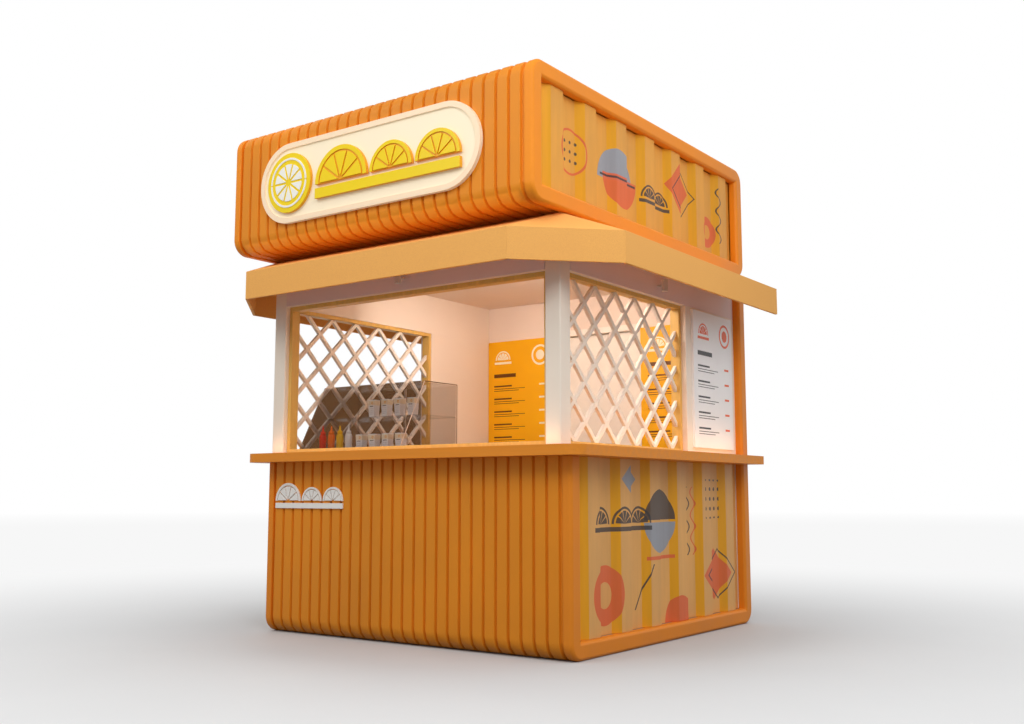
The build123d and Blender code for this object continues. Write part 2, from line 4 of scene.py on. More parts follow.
import bmesh
import bpy
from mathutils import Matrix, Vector

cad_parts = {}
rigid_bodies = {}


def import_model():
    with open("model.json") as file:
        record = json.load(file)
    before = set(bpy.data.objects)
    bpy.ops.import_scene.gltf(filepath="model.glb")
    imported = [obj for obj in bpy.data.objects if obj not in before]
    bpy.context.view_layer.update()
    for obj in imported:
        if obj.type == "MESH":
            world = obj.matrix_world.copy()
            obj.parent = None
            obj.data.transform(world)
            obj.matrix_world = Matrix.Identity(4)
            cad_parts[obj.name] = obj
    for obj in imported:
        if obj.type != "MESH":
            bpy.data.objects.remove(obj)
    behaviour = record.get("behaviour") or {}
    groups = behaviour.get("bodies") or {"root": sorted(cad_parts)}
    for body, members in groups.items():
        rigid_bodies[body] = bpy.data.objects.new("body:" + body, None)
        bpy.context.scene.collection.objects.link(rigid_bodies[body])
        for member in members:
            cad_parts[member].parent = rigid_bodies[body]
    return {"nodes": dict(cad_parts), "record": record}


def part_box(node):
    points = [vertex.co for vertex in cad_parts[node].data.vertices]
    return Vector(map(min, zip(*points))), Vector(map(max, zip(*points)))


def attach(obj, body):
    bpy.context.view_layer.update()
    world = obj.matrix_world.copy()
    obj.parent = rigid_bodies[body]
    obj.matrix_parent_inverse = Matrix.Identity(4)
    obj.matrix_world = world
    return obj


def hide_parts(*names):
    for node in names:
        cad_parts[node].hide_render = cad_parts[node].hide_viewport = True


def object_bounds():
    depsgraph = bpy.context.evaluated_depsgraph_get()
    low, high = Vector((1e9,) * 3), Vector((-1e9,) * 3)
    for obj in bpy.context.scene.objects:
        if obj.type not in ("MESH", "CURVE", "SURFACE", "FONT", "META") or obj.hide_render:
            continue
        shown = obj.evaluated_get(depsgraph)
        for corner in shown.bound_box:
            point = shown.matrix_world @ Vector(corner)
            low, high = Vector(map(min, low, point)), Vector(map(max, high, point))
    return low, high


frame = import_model()
for stray in [o for o in bpy.data.objects if o.name in ("Cube", "Light", "Camera")]:
    bpy.data.objects.remove(stray)
cad_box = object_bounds()
nodes = frame["nodes"]

# ---------------------------------------- looks: colours as seen on a screen, 0 to 255
ORANGE = (235, 143, 26)
ORANGE_BASE = (230, 141, 28)
ORANGE_FRAME = (248, 147, 26)
ORANGE_END = (234, 138, 30)
EAVES = (255, 184, 98)
COUNTER = (234, 144, 42)
LINING = (228, 182, 98)
TAN = (234, 175, 102)
BOX_TAN = (236, 166, 66)
YELLOW = (246, 170, 24)
DIRT = (96, 66, 40)
WHITE = (250, 238, 223)
INTERIOR = (242, 220, 202)
SIDE_INTERIOR = (246, 228, 210)
CREAM = (255, 240, 210)
SIGN_RIM = (252, 224, 190)
RELIEF = (255, 220, 10)
RELIEF_SIDE = (246, 176, 26)
CORAL = (232, 104, 58)
CHARCOAL = (58, 54, 56)
BLUE_GREY = (150, 160, 174)
MENU_ORANGE = (255, 180, 4)
MENU_DARK = (110, 62, 16)
# the lintels' outer faces: the wall white made darker and pinker, painted shade of the eaves above them
LINTEL_PAINTED_SHADE = (244, 226, 226)
BOARD_WHITE = (252, 250, 252)
SMOKE = (108, 78, 52)

NOISE_RANGE = (0.3, 0.7)  # most of a noise's values lie in it
DRIFT_SCALE = 1.6  # slow drifts of tone in paint, to the metre
WALL_PAINT = {"spread": 0.015, "grain": 180.0, "depth": 0.0006, "roughness": (0.6, 0.75)}

SLICE_CUTS = 5  # segments in half a citrus slice, printed or raised


def linear(colour):
    """A screen colour of 0 to 255 as the four linear numbers that shaders use."""
    scaled = [part / 255 for part in colour]
    return (*[c / 12.92 if c <= 0.04045 else ((c + 0.055) / 1.055) ** 2.4 for c in scaled], 1.0)


def shade(colour, factor):
    """The same colour, lighter or darker."""
    return tuple(min(255, part * factor) for part in colour)


class Nodes:
    """A node tree being built. Most methods add nodes and give back an output."""

    def __init__(self, tree):
        self.tree = tree

    def add(self, kind, inputs=(), **settings):
        """Adds a node and gives back the node itself."""
        node = self.tree.nodes.new(kind)
        for setting, value in settings.items():
            setattr(node, setting, value)
        for socket, value in dict(inputs).items():
            self.set(node.inputs[socket], value)
        return node

    def set(self, socket, value):
        """Links the socket to an output, or sets its own value."""
        if isinstance(value, bpy.types.NodeSocket):
            self.tree.links.new(value, socket)
        else:
            socket.default_value = value

    def calc(self, operation, *values):
        return self.add("ShaderNodeMath", enumerate(values), operation=operation).outputs[0]

    def ramp(self, value, low, high, to_low=0.0, to_high=1.0):
        ends = {"From Min": low, "From Max": high, "To Min": to_low, "To Max": to_high}
        return self.add("ShaderNodeMapRange", {"Value": value, **ends}).outputs[0]

    def axes(self, vector):
        """The three parts of a vector."""
        return self.add("ShaderNodeSeparateXYZ", {0: vector}).outputs

    def length(self, *sides):
        """The length of a line from its extent along each axis."""
        return self.calc("SQRT", self.calc("ADD", *[self.calc("POWER", side, 2) for side in sides]))

    def cover(self, mask, under, over):
        """Shader over covers shader under where mask is 1."""
        return self.add("ShaderNodeMixShader", {0: mask, 1: under, 2: over}).outputs[0]

    def seen(self):
        """1 for rays that show a thing to the camera: straight, off a gloss or through a clear sheet."""
        path = self.add("ShaderNodeLightPath").outputs
        direct = self.calc("MAXIMUM", path["Is Camera Ray"], path["Is Glossy Ray"])
        return self.calc("MAXIMUM", direct, path["Is Transmission Ray"])


class Shader(Nodes):
    """A material being built round a principled surface. place is the point on the piece, in metres."""

    def __init__(self, name, roughness=0.5, **constants):
        self.material = bpy.data.materials.new(name)
        self.material.use_nodes = True
        super().__init__(self.material.node_tree)
        self.surface = self.tree.nodes["Principled BSDF"]
        self.surface.inputs["Roughness"].default_value = roughness
        self.surface.inputs["Specular IOR Level"].default_value = 0.3
        for socket, value in constants.items():
            self.surface.inputs[socket.replace("_", " ")].default_value = value
        self.place = self.add("ShaderNodeTexCoord").outputs["Object"]

    def mix(self, mask, under, over):
        """Colour over covers colour under where mask is 1."""
        colours = [c if isinstance(c, bpy.types.NodeSocket) else linear(c) for c in (under, over)]
        node = self.add("ShaderNodeMix", data_type="RGBA")
        for number, value in zip((0, 6, 7), (mask, *colours)):  # the node's sockets for colours
            self.set(node.inputs[number], value)
        return node.outputs[2]

    def noise(self, scale, detail=3.0, stretch=(1, 1, 1)):
        mapping = self.add("ShaderNodeMapping", {"Vector": self.place, "Scale": stretch})
        inputs = {"Vector": mapping.outputs[0], "Scale": scale, "Detail": detail}
        return self.add("ShaderNodeTexNoise", inputs).outputs[0]

    def vary(self, noise, colour, spread):
        """The colour, darker or lighter by up to that share as the noise goes."""
        darker, lighter = shade(colour, 1 - spread), shade(colour, 1 + spread)
        return self.mix(self.ramp(noise, *NOISE_RANGE), darker, lighter)

    def colour(self, value):
        self.set(self.surface.inputs["Base Color"], value)

    def relief(self, height, distance, strength=0.3):
        bump = self.add("ShaderNodeBump", {"Height": height, "Distance": distance, "Strength": strength})
        self.set(self.surface.inputs["Normal"], bump.outputs[0])

    def vary_roughness(self, value, low, high):
        self.set(self.surface.inputs["Roughness"], self.ramp(value, *NOISE_RANGE, low, high))


def paint(name, colour, spread=0.035, grain=260.0, depth=0.0004, roughness=(0.42, 0.56)):
    """Sprayed or rolled paint: slow drifts of tone, a fine skin and slightly uneven gloss."""
    shader = Shader(name)
    drift = shader.noise(DRIFT_SCALE, 4.0)
    shader.colour(shader.vary(drift, colour, spread))
    shader.vary_roughness(drift, *roughness)
    shader.relief(shader.noise(grain, 2.0), depth, strength=0.35)
    return shader.material


def two_sided(name, outer, inner):
    """Matt wall paint: one colour on the faces that look away from the kiosk's middle, another inside."""
    shader = Shader(name)
    flat = shader.add("ShaderNodeNewGeometry").outputs["True Normal"]
    level = shader.add("ShaderNodeVectorMath", {0: shader.place, 1: (1, 1, 0)}, operation="MULTIPLY")
    away = shader.add("ShaderNodeVectorMath", {0: level.outputs[0], 1: flat}, operation="DOT_PRODUCT")
    outside = shader.calc("GREATER_THAN", away.outputs["Value"], 0.0)
    drift = shader.noise(DRIFT_SCALE, 4.0)
    tone = shader.mix(outside, inner, outer)
    shader.colour(shader.mix(shader.ramp(drift, *NOISE_RANGE, 0.0, 0.12), tone, shade(inner, 0.9)))
    shader.vary_roughness(drift, *WALL_PAINT["roughness"])
    shader.relief(shader.noise(WALL_PAINT["grain"], 2.0), WALL_PAINT["depth"], strength=0.35)
    return shader.material


def grained(name, colour, spread, stretch, scale=30.0, roughness=(0.4, 0.6), **constants):
    """A surface whose tone runs in streaks, such as timber, board or brushed metal."""
    shader = Shader(name, **constants)
    streak = shader.noise(scale, 6.0, stretch)
    drift = shader.noise(1.3, 2.0)
    tone = shader.vary(streak, colour, spread)
    shader.colour(shader.mix(shader.ramp(drift, 0.2, 0.8, 0.0, 0.25), tone, shade(colour, 1 - spread)))
    shader.vary_roughness(streak, *roughness)
    shader.relief(streak, 0.0005, strength=0.4)
    return shader.material


def speckled(name, colour):
    """The eaves' sanded coating: very fine light and dark grains over slow drifts."""
    shader = Shader(name)
    grains = shader.noise(240.0, 4.0)
    drift = shader.noise(2.2, 3.0)
    tone = shader.mix(shader.ramp(grains, 0.34, 0.66), shade(colour, 0.955), shade(colour, 1.035))
    shader.colour(shader.mix(shader.ramp(drift, *NOISE_RANGE, 0.0, 0.3), tone, shade(colour, 0.95)))
    shader.vary_roughness(grains, 0.6, 0.8)
    shader.relief(grains, 0.0006, strength=0.4)
    return shader.material


def framed_sign(name, rim_depth):
    """Cream acrylic with a painted glow, a faint light of its own though no lamp is inside: a pale face,
    and a warmer rim in the front rim_depth of it.
    """
    # the emission is painted light: it brightens the face and rim, and there is no lamp in the sign
    shader = Shader(name, Emission_Color=linear(CREAM), Emission_Strength=0.12)
    drift = shader.noise(1.4, 3.0)
    rim_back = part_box("sign_panel")[0].y + rim_depth
    on_rim = shader.calc("LESS_THAN", shader.axes(shader.place)[1], rim_back)
    tone = shader.mix(on_rim, CREAM, SIGN_RIM)
    shader.colour(shader.mix(shader.ramp(drift, *NOISE_RANGE, 0.0, 0.12), tone, shade(CREAM, 0.9)))
    shader.vary_roughness(drift, 0.28, 0.38)
    shader.relief(shader.noise(90.0, 2.0), 0.0002)
    return shader.material


# ---------------------------------------- printed shapes, as masks over two coordinates
class Print(Shader):
    """A sheet with flat printed shapes. across and up are its two coordinates, in metres.

    Each shape is a method that gives back a mask, 1 on the shape and 0 off it.
    """

    FLESH, RIND, HALF_RIND = 0.76, 0.93, 0.07  # of a slice's radius
    HALF_SEGMENT = 0.42  # of the turn between two cuts

    def sheet(self, across, up):
        self.across, self.up = across, up

    def off(self, middle):
        """How far the point lies across and up from middle."""
        return [self.calc("SUBTRACT", *pair) for pair in ((self.across, middle[0]), (self.up, middle[1]))]

    def within(self, value, reach):
        """1 where value lies between -reach and reach."""
        return self.calc("LESS_THAN", self.calc("ABSOLUTE", value), reach)

    def box(self, middle, size, lean=0.0):
        """A rectangle, leaning by lean metres across for each metre up."""
        across, up = self.off(middle)
        if lean:
            across = self.calc("SUBTRACT", across, self.calc("MULTIPLY", up, lean))
        return self.calc("MULTIPLY", self.within(up, size[1] / 2), self.within(across, size[0] / 2))

    def far(self, middle):
        """Distance from a point of the sheet."""
        return self.length(*self.off(middle))

    def disc(self, middle, radius):
        return self.calc("LESS_THAN", self.far(middle), radius)

    def ring(self, middle, radius, width):
        return self.within(self.calc("SUBTRACT", self.far(middle), radius), width / 2)

    def half_disc(self, middle, radius, above=True):
        """Half a disc, above or below its flat side."""
        side = self.calc("GREATER_THAN" if above else "LESS_THAN", self.up, middle[1])
        return self.calc("MULTIPLY", self.disc(middle, radius), side)

    def slice(self, middle, radius):
        """Half a citrus slice: a rind round its segments, flat side down."""
        far = self.far(middle)
        across, up = self.off(middle)
        turn = self.calc("ARCTAN2", up, across)
        share = self.calc("FRACT", self.calc("MULTIPLY", turn, SLICE_CUTS / pi))
        segment = self.within(self.calc("SUBTRACT", share, 0.5), self.HALF_SEGMENT)
        flesh = self.calc("MULTIPLY", segment, self.calc("LESS_THAN", far, radius * self.FLESH))
        rind = self.within(self.calc("SUBTRACT", far, radius * self.RIND), radius * self.HALF_RIND)
        whole = self.calc("MAXIMUM", flesh, rind)
        return self.calc("MULTIPLY", whole, self.calc("GREATER_THAN", up, 0.0))

    def wave(self, start, length, height, waves, width):
        """A wavy line that runs up from start."""
        across, up = self.off(start)
        turn = self.calc("MULTIPLY", up, tau * waves / length)
        swing = self.calc("MULTIPLY", self.calc("SINE", turn), height)
        line = self.within(self.calc("SUBTRACT", across, swing), width / 2)
        return self.calc("MULTIPLY", line, self.within(self.calc("SUBTRACT", up, length / 2), length / 2))

    def rows(self, left, right, top, thick, pitch, count):
        """Equal level lines below each other, from top."""
        down = self.calc("SUBTRACT", top, self.up)
        row = self.calc("LESS_THAN", self.calc("MODULO", down, pitch), thick)
        block = self.box(((left + right) / 2, top - count * pitch / 2), (right - left, count * pitch))
        return self.calc("MULTIPLY", row, block)

    def dots(self, middle, size, pitch, radius):
        """A rectangle filled with dots on a square grid."""
        near = [self.calc("PINGPONG", value, pitch / 2) for value in self.off(middle)]
        squares = [self.calc("POWER", value, 2) for value in near]
        dot = self.calc("LESS_THAN", self.calc("ADD", *squares), radius**2)
        return self.calc("MULTIPLY", dot, self.box(middle, size))

    def diamond(self, middle, size, width=None):
        """A diamond, filled or as an outline of that width."""
        off = [self.calc("ABSOLUTE", value) for value in self.off(middle)]
        share = self.calc("ADD", *[self.calc("DIVIDE", value, side / 2) for value, side in zip(off, size)])
        filled = self.calc("LESS_THAN", share, 1.0)
        if width is None:
            return filled
        inner = self.calc("GREATER_THAN", share, 1 - 2 * width / min(size))
        return self.calc("MULTIPLY", filled, inner)

    def draw(self, tone, layout, strength=1.0):
        """The tone with a layout's shapes over it. Each row is a colour, a shape and the shape's facts."""
        for colour, shape, *facts in layout:
            tone = self.mix(self.calc("MULTIPLY", shape(self, *facts), strength), tone, colour)
        return tone


def panel_print(name, node, ground, layout):
    """A corrugated sheet: tan, with the slopes that look forward painted yellow, and printed shapes."""
    shader = Print(name)
    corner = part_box(node)[0]
    axes = shader.axes(shader.place)
    shader.sheet(shader.calc("SUBTRACT", axes[1], corner.y), shader.calc("SUBTRACT", axes[2], corner.z))
    flat = shader.add("ShaderNodeNewGeometry").outputs["True Normal"]
    forward = shader.calc("LESS_THAN", shader.axes(flat)[1], -0.2)  # the slope's normal leans to -Y
    drift = shader.noise(1.8, 4.0)
    streak = shader.noise(26.0, 4.0, (1, 1, 0.08))
    tone = shader.mix(forward, shader.vary(drift, ground, 0.04), YELLOW)
    tone = shader.draw(tone, layout, 0.92)
    shader.colour(shader.mix(shader.ramp(streak, 0.35, 0.65, 0.0, 0.07), tone, DIRT))
    shader.vary_roughness(drift, 0.42, 0.55)
    shader.relief(streak, 0.0004)
    return shader.material


# places in metres, back from the sheet's front edge and up from its foot
BASE_PRINT = [
    (CORAL, Print.disc, (0.34, 0.22), 0.17),
    (TAN, Print.disc, (0.34, 0.22), 0.075),
    (BLUE_GREY, Print.half_disc, (0.98, 0.62), 0.19, False),
    (CHARCOAL, Print.half_disc, (0.98, 0.635), 0.19),
    (CORAL, Print.box, (0.985, 0.405), (0.36, 0.022)),
    (CHARCOAL, Print.slice, (0.30, 0.62), 0.10),
    (CHARCOAL, Print.slice, (0.52, 0.62), 0.10),
    (CHARCOAL, Print.slice, (0.74, 0.62), 0.10),
    (CHARCOAL, Print.box, (0.52, 0.59), (0.66, 0.026)),
    (CHARCOAL, Print.wave, (1.38, 0.40), 0.44, 0.03, 3, 0.016),
    (CORAL, Print.wave, (1.46, 0.40), 0.44, 0.03, 3, 0.016),
    (CHARCOAL, Print.dots, (1.72, 0.76), (0.26, 0.26), 0.065, 0.013),
    (BLUE_GREY, Print.diamond, (0.60, 0.88), (0.22, 0.17)),
    (CORAL, Print.diamond, (1.76, 0.26), (0.42, 0.34)),
    (CHARCOAL, Print.diamond, (1.82, 0.26), (0.42, 0.34), 0.012),
    (CORAL, Print.half_disc, (1.22, 0.0), 0.16),
    (CHARCOAL, Print.box, (0.78, 0.24), (0.014, 0.26), 0.7),
]
BOX_PRINT = [
    (CORAL, Print.ring, (0.36, 0.28), 0.13, 0.014),
    (CHARCOAL, Print.dots, (0.36, 0.28), (0.20, 0.20), 0.055, 0.010),
    (BLUE_GREY, Print.half_disc, (0.86, 0.22), 0.20),
    (CORAL, Print.half_disc, (0.92, 0.26), 0.20, False),
    (CHARCOAL, Print.box, (0.90, 0.24), (0.42, 0.014)),
    (CHARCOAL, Print.slice, (1.24, 0.20), 0.085),
    (CHARCOAL, Print.slice, (1.43, 0.20), 0.085),
    (CHARCOAL, Print.box, (1.335, 0.175), (0.38, 0.022)),
    (CORAL, Print.diamond, (1.66, 0.36), (0.34, 0.34)),
    (CHARCOAL, Print.diamond, (1.72, 0.34), (0.34, 0.34), 0.010),
    (CORAL, Print.disc, (2.12, 0.16), 0.11),
    (BOX_TAN, Print.disc, (2.12, 0.16), 0.05),
    (CHARCOAL, Print.wave, (2.26, 0.10), 0.40, 0.025, 3, 0.013),
]


def menu_print(name, node, axis, board_width, ground, ink, accent):
    """A menu board that runs along axis 0 (x) or 1 (y): a slice, a ring and rows of plain lines."""
    shader = Print(name)
    low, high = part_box(node)
    axes = shader.axes(shader.place)
    if axis == 0:  # one board on each side of the kiosk's middle
        middle = shader.calc("MULTIPLY", shader.calc("SIGN", axes[0]), high.x - board_width / 2)
    else:
        middle = (low.y + high.y) / 2
    shader.sheet(shader.calc("SUBTRACT", axes[axis], middle), shader.calc("SUBTRACT", axes[2], high.z))
    margin = 0.06
    left, right = margin - board_width / 2, board_width / 2 - margin
    dishes = (0.105, 5)  # their pitch and number
    layout = [
        (accent, Print.slice, (left + 0.09, -0.155), 0.075),
        (accent, Print.box, (left + 0.09, -0.18), (0.17, 0.018)),
        (accent, Print.ring, (right - 0.06, -0.135), 0.075, 0.016),
        (accent, Print.disc, (right - 0.06, -0.135), 0.04),
        (ink, Print.box, (left + 0.11, -0.285), (0.22, 0.03)),
        (ink, Print.rows, left, left + 0.18, -0.365, 0.012, *dishes),
        (ink, Print.rows, left, left + 0.31, -0.391, 0.005, *dishes),
        (ink, Print.rows, left, left + 0.25, -0.407, 0.005, *dishes),
        (accent, Print.rows, right - 0.07, right, -0.365, 0.014, *dishes),
    ]
    drift = shader.noise(2.5, 3.0)
    shader.colour(shader.draw(shader.vary(drift, ground, 0.03), layout))
    shader.vary_roughness(drift, 0.35, 0.5)
    shader.relief(shader.noise(300.0, 2.0), 0.0002)
    return shader.material


def clear_sheet(name, colour, tint):
    """Smoked clear sheet: tint is how much each face holds back. Faint smears show in its gloss."""
    shader = Shader(name, Alpha=tint)
    smear = shader.noise(3.0, 4.0)
    shader.colour(shader.vary(smear, colour, 0.1))
    shader.vary_roughness(smear, 0.04, 0.1)
    return shader.material


looks = {
    "orange_skin": paint("orange_skin_paint", ORANGE),
    "orange_frame": paint("orange_frame_paint", ORANGE_FRAME),
    "orange_eaves": speckled("eaves_coating", EAVES),
    "orange_counter": grained("counter_board", COUNTER, 0.03, (0.05, 1, 1)),
    "white_wall": paint("white_wall_paint", WHITE, **WALL_PAINT),
    "interior": paint("interior_paint", INTERIOR, **WALL_PAINT),
    "white_lattice": grained("lattice_paint", WHITE, 0.02, (1, 1, 0.15), 60.0),
    "orange_lining": grained("lining_board", LINING, 0.04, (1, 1, 0.1), 40.0),
    "cream_sign": framed_sign("cream_acrylic", 0.006),
    "white_board": menu_print(
        "white_menu_print",
        "side_menu_boards",
        axis=1,
        board_width=0.60,
        ground=BOARD_WHITE,
        ink=CHARCOAL,
        accent=CORAL,
    ),
    "orange_board": menu_print(
        "orange_menu_print",
        "back_menu_boards",
        axis=0,
        board_width=0.64,
        ground=MENU_ORANGE,
        ink=MENU_DARK,
        accent=CREAM,
    ),
    "door_paint": paint("door_paint", WHITE, 0.015, roughness=(0.45, 0.6)),
    "steel": grained(
        "brushed_steel", (176, 176, 178), 0.08, (1, 1, 0.03), 200.0, (0.25, 0.4), Metallic=1.0
    ),
    "lamp_metal": paint("lamp_metal", (214, 206, 200), roughness=(0.4, 0.5)),
    "smoked_clear": clear_sheet("smoked_clear", (96, 62, 40), 0.15),
    "floor_board": grained("floor_board", (150, 138, 124), 0.1, (0.06, 1, 1), 24.0),
}
# nodes that look different from the rest of their slot
looks["right_base_panel"] = panel_print("base_panel_print", "right_base_panel", TAN, BASE_PRINT)
looks["right_box_panel"] = panel_print("box_panel_print", "right_box_panel", BOX_TAN, BOX_PRINT)
looks["base_front_skin"] = paint("base_skin_paint", ORANGE_BASE)
looks["left_end_frame"] = looks["right_end_frame"] = paint("end_frame_paint", ORANGE_END)
looks["left_base_panel"] = looks["right_base_panel"]
looks["left_box_panel"] = looks["right_box_panel"]
for inner in ("ceiling", "base_front_lining", "base_side_linings", "rear_walls", "rear_wall_head"):
    looks[inner] = looks["interior"]
# the lintels' outer faces carry painted shade from the eaves; their inner faces have the plain interior
# paint
looks["front_lintel"] = looks["side_lintels"] = two_sided("lintel_painted_shade", LINTEL_PAINTED_SHADE, SIDE_INTERIOR)
looks["side_walls"] = two_sided("side_wall_paint", WHITE, SIDE_INTERIOR)


# ---------------------------------------- soft edges, and looks for the CAD's nodes
def soften(piece, width, segments=2, angle=35.0):
    """Rounds the edges and keeps the flats flat."""
    for polygon in piece.data.polygons:
        polygon.use_smooth = True
    weld = piece.modifiers.new("weld", "WELD")
    weld.merge_threshold = 0.00005
    bevel = piece.modifiers.new("soft_edges", "BEVEL")
    bevel.width = width
    bevel.segments = segments
    bevel.limit_method = "ANGLE"
    bevel.angle_limit = radians(angle)
    normals = piece.modifiers.new("flat_faces", "WEIGHTED_NORMAL")
    normals.weight = 100


EDGE_WIDTH = 0.003  # for the nodes that aren't listed
EDGE_WIDTHS = {
    "base_front_skin": 0.0025,
    "box_skin": 0.0025,
    "rear_cladding": 0.0025,
    "rear_cladding_head": 0.0025,
    "right_end_frame": 0.006,
    "left_end_frame": 0.006,
    "right_box_frame": 0.006,
    "left_box_frame": 0.006,
    "right_base_panel": 0.004,
    "left_base_panel": 0.004,
    "right_box_panel": 0.004,
    "left_box_panel": 0.004,
    "counter_top": 0.005,
    "front_corner_posts": 0.010,
    "sign_panel": 0.008,
    "eaves_front": 0.002,
    "eaves_sides": 0.002,
    "eaves_corners": 0.002,
    "right_lattice": 0.002,
    "left_lattice": 0.002,
    "rear_door": 0.004,
    "display_case": 0.001,
    "case_shelf": 0.001,
}
for subpart in frame["record"]["subparts"]:
    name = subpart["node"]
    look = looks.get(name) or looks.get(subpart["material_slot"])
    if look:
        for material_slot in nodes[name].material_slots:
            material_slot.material = look
    soften(nodes[name], EDGE_WIDTHS.get(name, EDGE_WIDTH), 3 if name == "sign_panel" else 2)


# ---------------------------------------- outlines of flat shapes, across and up in metres
def polar(middle, radius, turn):
    return (middle[0] + radius * cos(turn), middle[1] + radius * sin(turn))


def spread(start, end, count):
    """count + 1 even steps from start to end."""
    return [start + (end - start) * step / count for step in range(count + 1)]


def circle(middle, radius, steps):
    return [polar(middle, radius, turn) for turn in spread(0, tau, steps)[:-1]]


def band(middle, inner, outer, start, end, steps=24):
    """Outline of a curved band."""
    turns = spread(start, end, steps)
    return [polar(middle, outer, turn) for turn in turns] + [
        polar(middle, inner, turn) for turn in reversed(turns)
    ]


def wedge(middle, radius, start, end, gap, steps=8):
    """Outline of a segment with even gaps to its neighbours."""
    edge = asin(gap / 2 / radius)
    tip = polar(middle, gap / 2 / sin((end - start) / 2), (start + end) / 2)
    return [tip] + [polar(middle, radius, turn) for turn in spread(start + edge, end - edge, steps)]


def segments(middle, radius, start, end, count, gap):
    """Outlines of the segments that fill the turn from start to end."""
    turns = spread(start, end, count)
    return [wedge(middle, radius, a, b, gap) for a, b in zip(turns, turns[1:])]


def rectangle(middle, size):
    across, up = size[0] / 2, size[1] / 2
    return [
        (middle[0] - across, middle[1] - up),
        (middle[0] + across, middle[1] - up),
        (middle[0] + across, middle[1] + up),
        (middle[0] - across, middle[1] + up),
    ]


def bar(start, end, width):
    """Outline of a straight bar between two points."""
    along = (Vector(end) - Vector(start)).normalized() * width / 2
    aside = Vector((-along.y, along.x))
    return [Vector(start) + aside, Vector(start) - aside, Vector(end) - aside, Vector(end) + aside]


def half_slice(middle, radius):
    """Outlines of half a citrus slice, flat side down."""
    rind = band(middle, radius * 0.86, radius, 0, pi)
    return [rind] + segments(middle, radius * 0.81, 0, pi, SLICE_CUTS, radius * 0.055)


def slices_over_bar(left, bar_top, scale, cut=True):
    """Outlines of one large and two smaller half slices over a bar, cut into segments or whole."""
    large, small = 0.215 * scale, 0.165 * scale
    gap = 0.024 * scale
    bar_high = 0.064 * scale
    outlines = []
    x = left
    for radius in (large, small, small):
        middle = (x + radius, bar_top + gap)
        whole = [polar(middle, radius, turn) for turn in spread(0, pi, 36)]
        outlines += half_slice(middle, radius) if cut else [whole]
        x += 2 * radius + gap
    outlines.append(rectangle(((left + x - gap) / 2, bar_top - bar_high / 2), (x - gap - left, bar_high)))
    return outlines


# ---------------------------------------- solids and pieces from outlines
def stack(shape, rings):
    """Joins rings of points one after another and closes both ends. Gives back each step's walls."""
    rings = [[shape.verts.new(point) for point in ring] for ring in rings]
    shape.faces.new(list(reversed(rings[0])))
    shape.faces.new(rings[-1])
    steps = []
    for ring, following in zip(rings, rings[1:]):
        corners = zip(ring, ring[1:] + ring[:1], following[1:] + following[:1], following)
        steps.append([shape.faces.new(wall) for wall in corners])
    return steps


def from_shape(name, shape, materials, place=(0, 0, 0)):
    """Turns a bmesh into a piece that rides on the kiosk."""
    mesh = bpy.data.meshes.new(name)
    shape.to_mesh(mesh)
    shape.free()
    piece = bpy.data.objects.new(name, mesh)
    bpy.context.scene.collection.objects.link(piece)
    piece.location = place
    for material in materials:
        mesh.materials.append(material)
    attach(piece, "kiosk")
    return piece


def raised(name, outlines, plane, depth, face, side, edge=0.003, across="x"):
    """Shapes proud of a plane, one material in front and one round the sides.

    They lie in x and z and stand out towards -Y, or in y and z towards +X where across is "y".
    """
    shape = bmesh.new()
    for outline in outlines:
        if across == "x":
            rings = [[(x, level, z) for x, z in outline] for level in (plane, plane - depth)]
        else:
            rings = [[(level, y, z) for y, z in outline] for level in (plane, plane + depth)]
        for wall in stack(shape, rings)[0]:
            wall.material_index = 1
    bmesh.ops.recalc_face_normals(shape, faces=shape.faces)
    soften(from_shape(name, shape, (face, side)), edge)


relief_face = paint("relief_yellow", RELIEF, 0.012, 90.0, 0.0002, (0.25, 0.35))
relief_side = paint("relief_side", RELIEF_SIDE, 0.012, roughness=(0.3, 0.4))
ornament_white = paint("ornament_white", (246, 244, 240), 0.01, roughness=(0.3, 0.4))
badge_white = paint("badge_white", (255, 253, 246), 0.004, roughness=(0.3, 0.4))

# ---------------------------------------- sign: a round badge, then three half slices over a bar
SIGN_RECESS = 0.011  # from the rim's front back to the face
BADGE_RADIUS = 0.192
BADGE_DEPTH = 0.022
BADGE_SHIFT = (0.012, -0.004)  # from the middle of the sign's left round
SLICES_GAP = 0.045
SLICES_DROP = 0.082
BACKING = 0.020
sign_low, sign_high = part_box("sign_panel")
sign_face = sign_low.y + SIGN_RECESS
sign_middle = (sign_low.z + sign_high.z) / 2
sign_round = (sign_high.z - sign_low.z) / 2
badge = (sign_low.x + sign_round + BADGE_SHIFT[0], sign_middle + BADGE_SHIFT[1])
raised(
    "sign_badge",
    [circle(badge, BADGE_RADIUS, 72)],
    sign_face,
    BADGE_DEPTH,
    relief_face,
    relief_side,
)
badge_marks = segments(badge, BADGE_RADIUS * 0.62, 0, tau, 2 * SLICE_CUTS, 0.014)
for start in (0, pi):  # the rind's two halves, with a fine gap between them
    turns = (start + 0.02, start + pi - 0.02)
    badge_marks.append(band(badge, BADGE_RADIUS * 0.76, BADGE_RADIUS * 0.83, *turns, 40))
raised("sign_badge_marks", badge_marks, sign_face - BADGE_DEPTH, 0.004, badge_white, badge_white, 0.001)

slices_left = badge[0] + BADGE_RADIUS + SLICES_GAP
slices_foot = sign_middle - SLICES_DROP
raised(
    "sign_slices_backing",
    slices_over_bar(slices_left, slices_foot, 1.0, cut=False),
    sign_face,
    BACKING,
    relief_side,
    relief_side,
)
raised(
    "sign_slices",
    slices_over_bar(slices_left, slices_foot, 1.0),
    sign_face - BACKING,
    0.006,
    relief_face,
    relief_side,
    0.0015,
)

